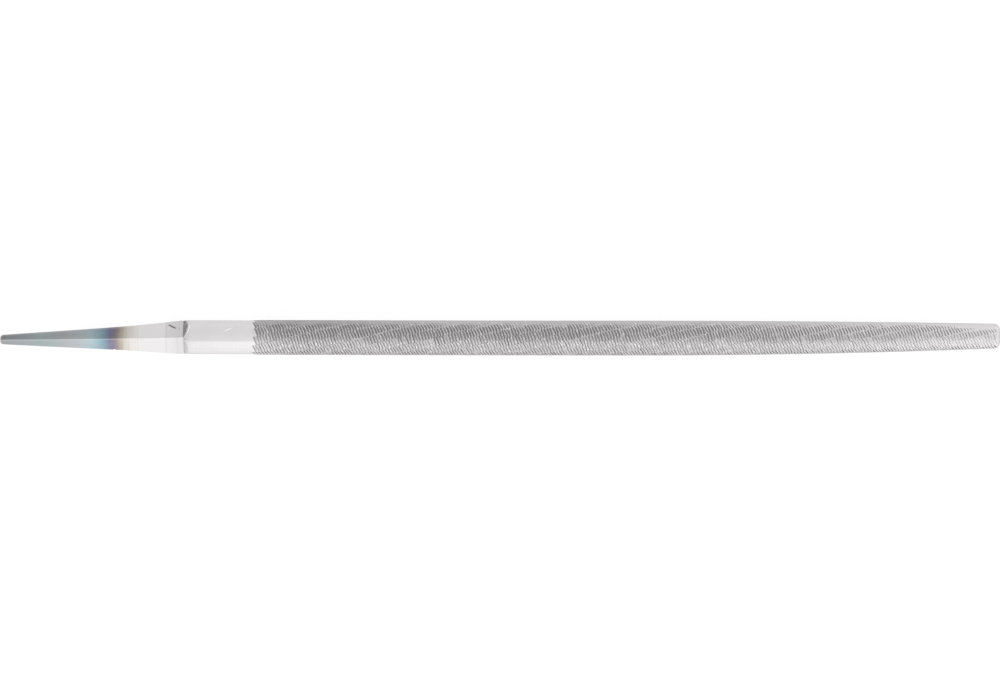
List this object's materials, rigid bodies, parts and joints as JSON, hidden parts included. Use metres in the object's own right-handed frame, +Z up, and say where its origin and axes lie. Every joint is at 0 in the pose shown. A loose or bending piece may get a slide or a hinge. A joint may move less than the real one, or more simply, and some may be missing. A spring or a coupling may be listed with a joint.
{
  "type": "round file",
  "caption": "Round file: a long bar covered in chisel-cut teeth that tapers to a blunt point, with a bare square tang for a handle.",
  "frame": {"origin": "on the bench under the middle of the file's whole length, on the file's centre line", "axes": "+X runs along the file from the tang to the point, +Z is up from the bench, and the square tang stands on a corner, so a corner ridge faces up"},
  "size_m": [0.3674, 0.0128, 0.0127],
  "materials": {
    "tang_steel": "forged and softened, oxide grey at the end with straw and purple temper bands",
    "ground_steel": "bright ground",
    "cut_steel": "hardened, chisel-cut teeth"
  },
  "bodies": {
    "root": {"tang": "tang_steel", "shoulder": "ground_steel", "heel": "ground_steel", "blade": "cut_steel", "taper": "cut_steel", "point": "ground_steel"}
  },
  "joints": []
}
